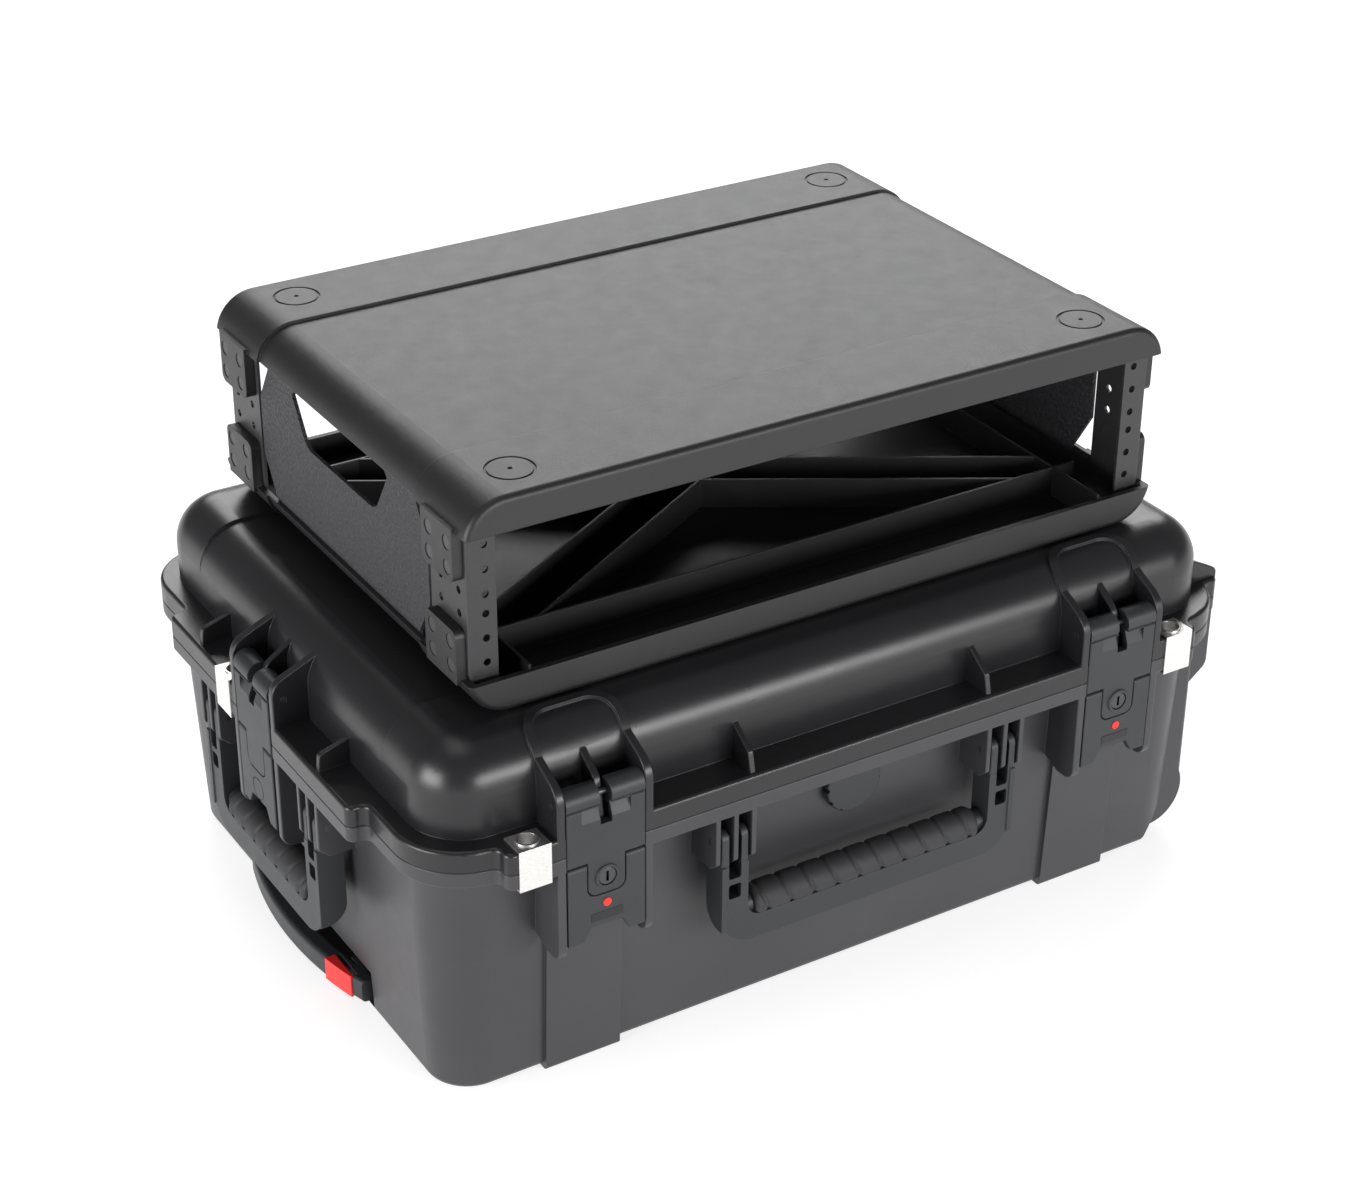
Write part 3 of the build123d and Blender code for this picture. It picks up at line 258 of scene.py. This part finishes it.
MATERIALS = {
    # case_plastic and the lid's copy of it are one resin: the base colour is raised lighter as painted
    # light, and the lid colour is darker as painted shade.
    "case_plastic": moulded_plastic("case_plastic", (0.0370, 0.0360, 0.0400), 0.38, 1500.0, 0.00008),
    "lid_plastic_painted_shade": moulded_plastic("lid_plastic_painted_shade", (0.0130, 0.0125, 0.0142), 0.30, 1500.0, 0.00006),
    "latch_plastic": moulded_plastic("latch_plastic", (0.0195, 0.0215, 0.0240), 0.46, 1800.0, 0.00010),
    "cage_plastic": moulded_plastic("cage_plastic", (0.0115, 0.0112, 0.0122), 0.44, 1400.0, 0.00012),
    "panel_plastic": pebbled_sheet("panel_plastic", (0.024, 0.0235, 0.027)),
    "grip_rubber": soft_rubber("grip_rubber", (0.022, 0.022, 0.024)),
    "rail_steel": metal("rail_steel", (0.030, 0.030, 0.032), 0.42, (1.0, 1.0, 20.0), True),
    "rivet_steel": metal("rivet_steel", (0.035, 0.035, 0.038), 0.38, (8.0, 8.0, 8.0), True),
    "bright_steel": metal("bright_steel", (0.86, 0.85, 0.82), 0.30, (3.0, 1.0, 30.0)),
    "pin_steel": metal("pin_steel", (0.12, 0.12, 0.125), 0.38, (1.0, 20.0, 20.0)),
    "lock_metal": metal("lock_metal", (0.10, 0.10, 0.105), 0.30, (12.0, 1.0, 12.0)),
    "red_plastic": moulded_plastic("red_plastic", (0.80, 0.018, 0.016), 0.32, 1500.0, 0.00005, 0.06),
    "label_plate": moulded_plastic("label_plate", (0.008, 0.008, 0.009), 0.34, 2000.0, 0.00004),
    "tube_aluminium": metal("tube_aluminium", (0.60, 0.60, 0.61), 0.33, (1.0, 25.0, 25.0)),
    "wheel_tyre": soft_rubber("wheel_tyre", (0.016, 0.016, 0.017), 0.66),
    "wheel_hub": moulded_plastic("wheel_hub", (0.05, 0.05, 0.053), 0.45, 1200.0, 0.0001),
    "foam": open_cell_foam("foam", (0.045, 0.045, 0.05)),
}


def dress_nodes():
    """Give each CAD node its slot's finish; the lid gets a darker, glossier copy of the base resin, its
    darker colour painted shade.
    """
    for name, node in NODES.items():
        finish = "lid_plastic_painted_shade" if name == "lid_shell" else SLOTS[name]
        node.data.materials.clear()
        node.data.materials.append(MATERIALS[finish])


# ---------------------------------------------------------------- soft pieces

def new_piece(name, mesh, node, shade_smooth=True):
    """Piece that stands for a CAD node: it rides on the node's body and has its finish."""
    for polygon in mesh.polygons:
        polygon.use_smooth = shade_smooth
    piece = bpy.data.objects.new(name, mesh)
    bpy.context.collection.objects.link(piece)
    mesh.materials.clear()
    mesh.materials.append(MATERIALS[SLOTS[node]])
    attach(piece, BODY_OF[node])
    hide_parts(node)
    return piece


def egg_crate_pad(node, pitch, trough, corner):
    """Convoluted foam: flat above, rows of rounded peaks below."""
    low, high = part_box(node)
    across, along = round((high[0] - low[0]) / pitch), round((high[1] - low[1]) / pitch)
    count_x, count_y = across * 8, along * 8
    points, faces = [], []
    for layer in (0, 1):
        for row in range(count_y + 1):
            for column in range(count_x + 1):
                u, v = column / count_x, row / count_y
                x, y = low[0] + u * (high[0] - low[0]), low[1] + v * (high[1] - low[1])
                x, y = inside_corner(x, y, low, high, corner)
                wave = 0.5 - 0.5 * math.cos(2 * math.pi * across * u) * math.cos(2 * math.pi * along * v)
                edge = min(1.0, 6 * min(u * across, (1 - u) * across, v * along, (1 - v) * along))
                z = high[2] if layer else low[2] + trough * (wave * edge + FOAM_EDGE * (1 - edge))
                points.append((x, y, z))
    stride, layer_size = count_x + 1, (count_x + 1) * (count_y + 1)
    for row in range(count_y):
        for column in range(count_x):
            corner_index = row * stride + column
            quad = (corner_index, corner_index + 1, corner_index + 1 + stride, corner_index + stride)
            faces.append(tuple(reversed(quad)))
            faces.append(tuple(index + layer_size for index in quad))
    rim = list(range(count_x))
    rim += [row * stride + count_x for row in range(count_y)]
    rim += [count_y * stride + column for column in range(count_x, 0, -1)]
    rim += [row * stride for row in range(count_y, 0, -1)]
    for index, point in enumerate(rim):
        following = rim[(index + 1) % len(rim)]
        faces.append((point, following, following + layer_size, point + layer_size))
    mesh = bpy.data.meshes.new("lid_foam")
    mesh.from_pydata(points, [], faces)
    piece = new_piece("lid_foam", mesh, node)


def inside_corner(x, y, low, high, radius):
    """Pull a point of a rectangle in, so that the rectangle's corners are rounded."""
    centre_x = min(max(x, low[0] + radius), high[0] - radius)
    centre_y = min(max(y, low[1] + radius), high[1] - radius)
    out_x, out_y = x - centre_x, y - centre_y
    length = math.hypot(out_x, out_y)
    if length < 1e-9:
        return x, y
    reach = max(abs(out_x), abs(out_y)) / length
    return centre_x + out_x * reach, centre_y + out_y * reach


def foam_blocks(node, voxel):
    """Cut foam: the plain blocks with soft, slightly uneven edges."""
    mesh = NODES[node].data.copy()
    piece = new_piece("corner_foam", mesh, node)
    remesh = piece.modifiers.new("remesh", "REMESH")
    remesh.mode = "VOXEL"
    remesh.voxel_size = voxel
    remesh.use_smooth_shade = True
    smooth = piece.modifiers.new("soften", "SMOOTH")
    smooth.factor = 0.5
    smooth.iterations = 6


def ribbed_grip(node, axis, groove_pitch):
    """Soft grip: a tube in slightly swollen segments, with slanted grooves between them."""
    low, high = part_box(node)
    length = high[axis] - low[axis]
    radius = (high[2] - low[2]) / 2
    across = 1 - axis
    centre = (low[across] + high[across]) / 2
    height = (low[2] + high[2]) / 2
    segments = round(length / groove_pitch)
    steps, sides = segments * 20, 56
    points, faces = [], []
    for layer in (0, 1):
        for step in range(steps + 1):
            t = step / steps
            for side in range(sides):
                angle = 2 * math.pi * side / sides
                out, up = math.cos(angle), math.sin(angle)
                slanted = t * segments + GROOVE_SLANT * up + 0.5
                groove = math.exp(-((slanted - round(slanted)) / GROOVE_WIDTH) ** 2)
                end = min(1.0, min(t, 1 - t) * length / GRIP_END_ROUND)
                size = radius - GROOVE_DEPTH * groove if layer == 0 else GRIP_BORE
                if layer == 0:
                    thinnest = GRIP_BORE + GRIP_SKIN
                    size = thinnest + (size - thinnest) * math.sqrt(end)
                offset, rise = out * size, up * size
                if layer == 0 and rise < GRIP_BLADE_TOP and offset > GRIP_BLADE_BACK:
                    offset = max(GRIP_BLADE_BACK, GRIP_BORE)
                point = [0.0, 0.0, height + rise]
                point[axis] = low[axis] + t * length
                point[across] = centre - offset
                points.append(tuple(point))
    ring = (steps + 1) * sides
    for step in range(steps):
        for side in range(sides):
            following = (side + 1) % sides
            outer = (step * sides + side, step * sides + following,
                     (step + 1) * sides + following, (step + 1) * sides + side)
            faces.append(outer)
            faces.append(tuple(index + ring for index in reversed(outer)))
    for side in range(sides):
        following = (side + 1) % sides
        faces.append((side, side + ring, following + ring, following))
        last = steps * sides
        faces.append((last + side, last + following, last + following + ring, last + side + ring))
    mesh = bpy.data.meshes.new(node + "_ribbed")
    mesh.from_pydata(points, [], faces)
    mesh.update()
    fix_normals(mesh)
    new_piece(node + "_ribbed", mesh, node)


def fix_normals(mesh):
    shape = bmesh.new()
    shape.from_mesh(mesh)
    bmesh.ops.recalc_face_normals(shape, faces=shape.faces)
    shape.to_mesh(mesh)
    shape.free()


# ---------------------------------------------------------------- stage, light and camera

def stage_floor():
    mesh = bpy.data.meshes.new("floor")
    far = FLOOR_REACH
    mesh.from_pydata([(-far, -far, 0), (far, -far, 0), (far, far, 0), (-far, far, 0)], [], [(0, 1, 2, 3)])
    floor = bpy.data.objects.new("floor", mesh)
    bpy.context.collection.objects.link(floor)
    material, tree, shader = new_material("floor")
    shader.inputs["Base Color"].default_value = FLOOR_TONE
    shader.inputs["Roughness"].default_value = 0.9
    shader.inputs["Emission Color"].default_value = (1.0, 1.0, 1.0, 1.0)
    shader.inputs["Emission Strength"].default_value = FLOOR_GLOW
    mesh.materials.append(material)


def area_light(name, place, target, size, power, colour=(1.0, 1.0, 1.0)):
    data = bpy.data.lights.new(name, "AREA")
    data.shape = "RECTANGLE"
    data.size, data.size_y = size
    data.energy = power
    data.color = colour
    light = bpy.data.objects.new(name, data)
    bpy.context.collection.objects.link(light)
    light.location = place
    light.rotation_euler = (Vector(target) - Vector(place)).to_track_quat("-Z", "Y").to_euler()


def studio():
    world = bpy.data.worlds.new("studio")
    bpy.context.scene.world = world
    world.use_nodes = True
    background = world.node_tree.nodes["Background"]
    background.inputs["Color"].default_value = (1.0, 1.0, 1.0, 1.0)
    background.inputs["Strength"].default_value = 0.2
    area_light("rear_box", (1.45, 2.35, 1.75), (0, 0, 0.35), (3.2, 1.3), 62.0)
    area_light("overhead", (-0.3, 0.2, 2.6), (0, 0, 0.3), (1.8, 1.2), 8.0)
    area_light("left_box", (-2.6, -0.3, 0.6), (0, 0, 0.12), (1.6, 1.0), 52.0)
    area_light("front_box", (0.7, -2.9, 0.7), (0, 0, 0.12), (2.2, 0.8), 62.0)
    bpy.context.scene.view_settings.view_transform = "Standard"


def camera():
    data = bpy.data.cameras.new("camera")
    view = bpy.data.objects.new("camera", data)
    bpy.context.collection.objects.link(view)
    data.sensor_width = SENSOR_MM
    data.lens = FOCAL_PIXELS / PHOTO_WIDTH * SENSOR_MM
    turn, drop, roll = (math.radians(angle) for angle in (CAMERA_TURN, CAMERA_DROP, CAMERA_ROLL))
    ahead = Vector((math.sin(turn) * math.cos(drop), math.cos(turn) * math.cos(drop), -math.sin(drop)))
    view.rotation_mode = "QUATERNION"
    view.rotation_quaternion = ahead.to_track_quat("-Z", "Y") @ Euler((0, 0, roll)).to_quaternion()
    view.location = CAMERA_PLACE
    data.clip_end = 50.0
    bpy.context.scene.camera = view


dress_nodes()
egg_crate_pad("lid_foam_pad", FOAM_PITCH, FOAM_TROUGH, FOAM_CORNER)
foam_blocks("foam_corner_blocks", FOAM_VOXEL)
ribbed_grip("front_handle_grip", 0, GROOVE_PITCH)
ribbed_grip("side_handle_grip", 1, GROOVE_PITCH)
stage_floor()
studio()
camera()
